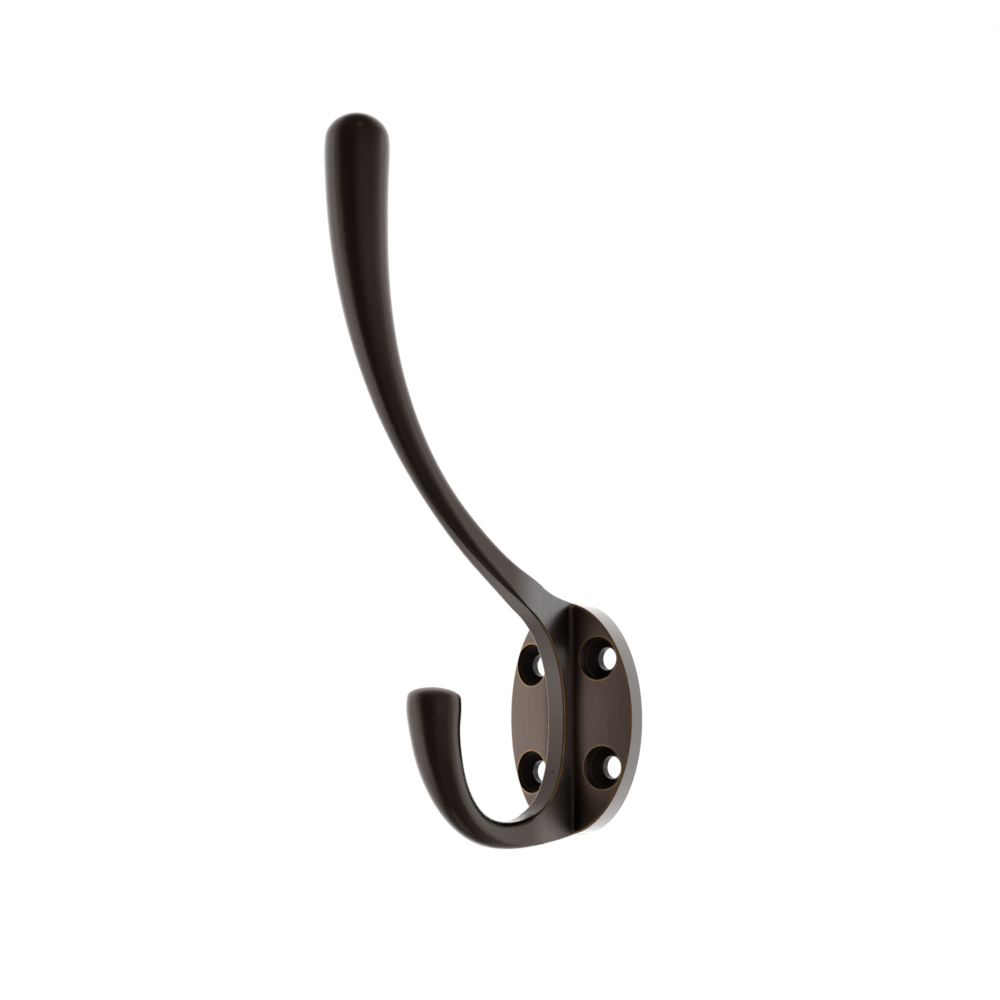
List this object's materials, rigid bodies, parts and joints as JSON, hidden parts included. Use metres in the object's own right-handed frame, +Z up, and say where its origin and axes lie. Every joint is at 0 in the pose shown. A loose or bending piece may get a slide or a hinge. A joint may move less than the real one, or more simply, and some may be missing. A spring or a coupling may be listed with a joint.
{
  "type": "hat and coat hook",
  "caption": "Wall hook cast in one piece: a long upper arm for a hat and a short lower hook for a coat, on an oval plate with countersunk screw holes.",
  "frame": {"origin": "middle of the back of the oval plate, on the wall's face", "axes": "+Z up along the plate's height, +Y into the wall, the hook stands out towards -Y, +X to the right as seen from the front"},
  "size_m": [0.033, 0.0751, 0.1433],
  "materials": {
    "bronze_finish": "cast brass, darkened to bronze and lacquered to a satin, with bare brass showing along the crisp edges"
  },
  "bodies": {
    "root": {"hook": "bronze_finish"}
  },
  "joints": []
}
